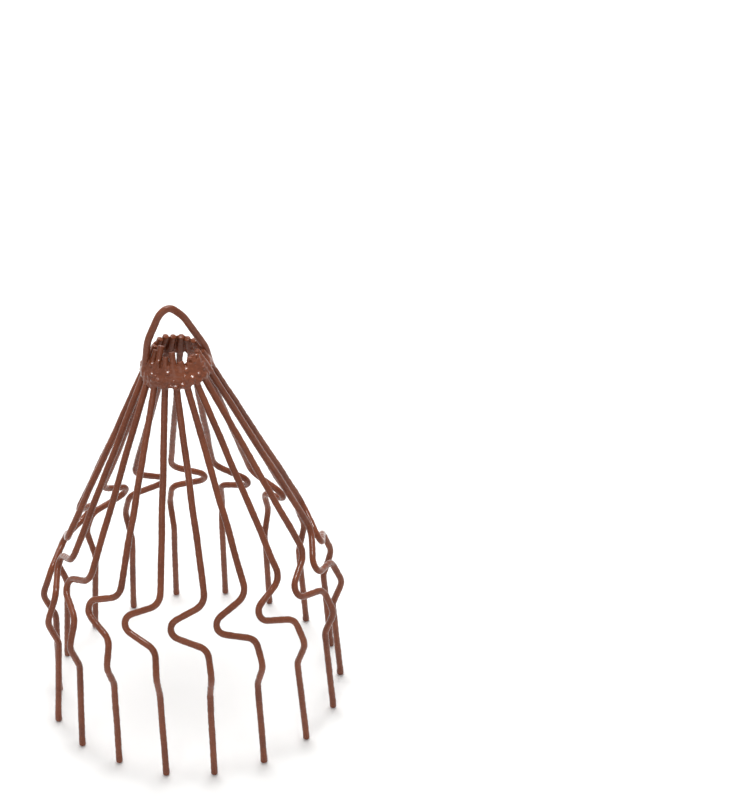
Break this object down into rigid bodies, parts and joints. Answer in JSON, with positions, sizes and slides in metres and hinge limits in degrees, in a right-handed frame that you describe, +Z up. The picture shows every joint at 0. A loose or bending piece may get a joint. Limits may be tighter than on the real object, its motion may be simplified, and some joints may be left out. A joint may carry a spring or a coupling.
{
  "type": "chimney bird guard",
  "caption": "Conical cage of bent wires, joined at a welded collar under a lifting loop, whose kinked legs stand in a flue and keep birds out.",
  "frame": {"origin": "on the floor under the middle of the cage, at the centre of the circle of feet", "axes": "+Z up along the cage's axis; -Y is the side that faces the viewer, and the lifting loop spans nearly along X"},
  "size_m": [0.2432, 0.2437, 0.3585],
  "materials": {
    "leg_coating": "glossy dipped coating",
    "collar_coating": "glossy dipped coating",
    "loop_coating": "glossy dipped coating"
  },
  "bodies": {
    "root": {"leg_01": "leg_coating", "leg_02": "leg_coating", "leg_03": "leg_coating", "leg_04": "leg_coating", "leg_05": "leg_coating", "leg_06": "leg_coating", "leg_07": "leg_coating", "leg_08": "leg_coating", "leg_09": "leg_coating", "leg_10": "leg_coating", "leg_11": "leg_coating", "leg_12": "leg_coating", "leg_13": "leg_coating", "leg_14": "leg_coating", "leg_15": "leg_coating", "leg_16": "leg_coating", "leg_17": "leg_coating", "leg_18": "leg_coating", "collar": "collar_coating", "lifting_loop": "loop_coating"}
  },
  "joints": []
}
